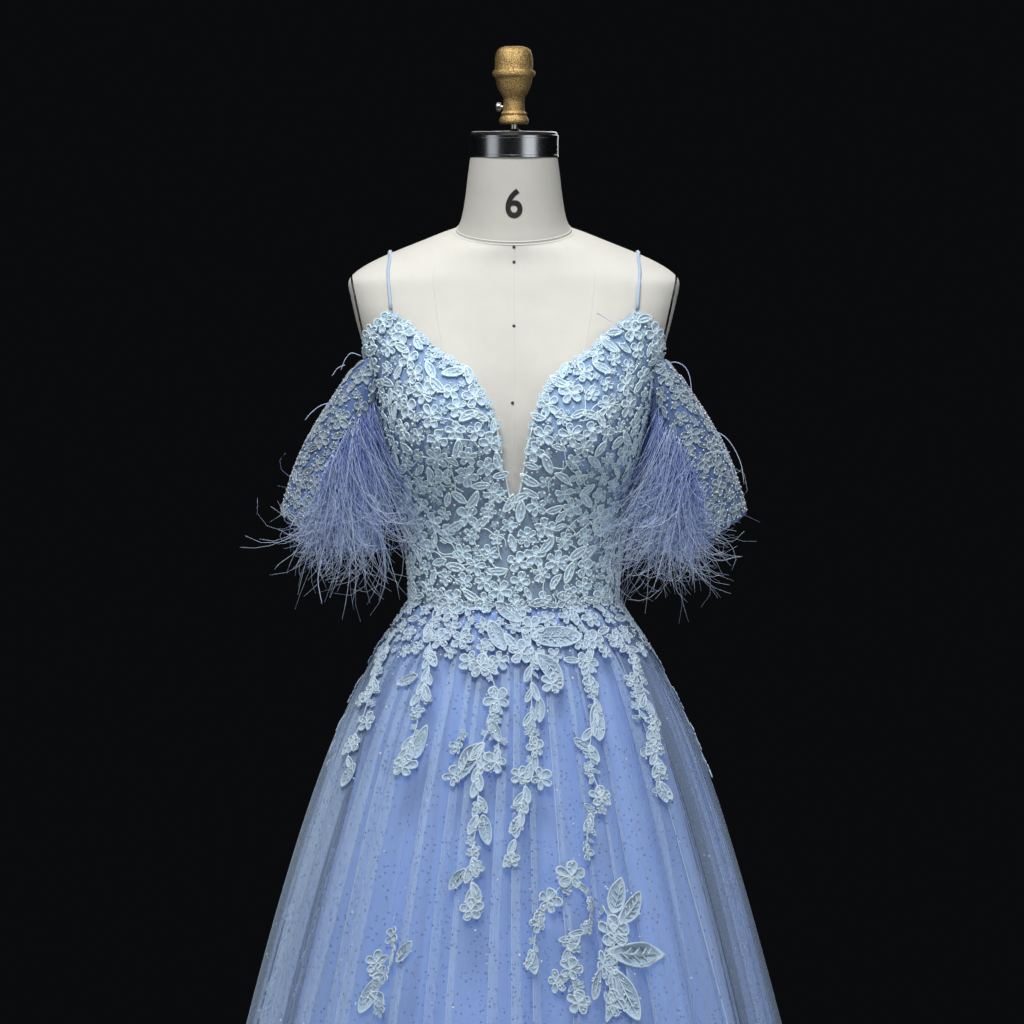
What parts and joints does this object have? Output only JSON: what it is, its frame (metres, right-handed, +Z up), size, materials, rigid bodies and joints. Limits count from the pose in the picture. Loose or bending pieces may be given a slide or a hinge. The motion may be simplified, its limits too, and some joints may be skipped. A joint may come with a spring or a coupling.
{
  "type": "prom dress on a limbless dress form with stand",
  "caption": "Floor-length A-line prom dress of beaded lace and tulle with cord straps and feather-fringed off-shoulder sleeves, on a limbless dress form with a stand.",
  "frame": {"origin": "the centre of the stand base's underside, on the floor", "axes": "+Z up, -Y to the front, +X to the wearer's left"},
  "size_m": [0.902, 0.858, 1.703],
  "materials": {
    "linen": "smooth ivory cotton cover",
    "chrome": "polished",
    "black_enamel": "satin black",
    "antique_gold": "aged gold",
    "steel": "plated",
    "cast_iron": "black enamel",
    "lace_on_net": "net with corded and beaded lace",
    "satin": "satin",
    "glitter_tulle": "fine net with glitter dots",
    "corded_lace": "corded lace with small beads",
    "feather": "soft feather barbs",
    "zip_coil": "woven and moulded zip"
  },
  "bodies": {
    "gown_and_form": {"form_torso": "linen", "form_neck": "linen", "arm_plate_left": "linen", "arm_plate_right": "linen", "neck_band": "chrome", "neck_cap": "black_enamel", "knob": "antique_gold", "knob_rod": "steel", "knob_screw": "steel", "stand_pole": "steel", "stand_base": "cast_iron", "bodice_front_left": "lace_on_net", "bodice_front_right": "lace_on_net", "bodice_back_left": "lace_on_net", "bodice_back_right": "lace_on_net", "cup_left": "satin", "cup_right": "satin", "strap_left": "satin", "strap_right": "satin", "sleeve_left": "lace_on_net", "sleeve_right": "lace_on_net", "fringe_left": "feather", "fringe_right": "feather", "zip_coil": "zip_coil", "zip_slider": "steel", "skirt_tulle_front": "glitter_tulle", "skirt_tulle_back_left": "glitter_tulle", "skirt_tulle_back_right": "glitter_tulle", "skirt_satin": "satin", "spray_01": "corded_lace", "spray_02": "corded_lace", "spray_03": "corded_lace", "spray_04": "corded_lace", "spray_05": "corded_lace", "spray_06": "corded_lace", "spray_07": "corded_lace", "spray_08": "corded_lace", "spray_09": "corded_lace", "spray_10": "corded_lace"},
    "zip_pull": {"zip_pull": "steel"}
  },
  "joints": [
    {"name": "zip_pull_swing", "type": "hinge", "parent": "gown_and_form", "child": "zip_pull", "pos_m": [0, 0.10837, 1.20685], "axis": [1, 0, 0], "range_deg": [0, 160]}
  ]
}
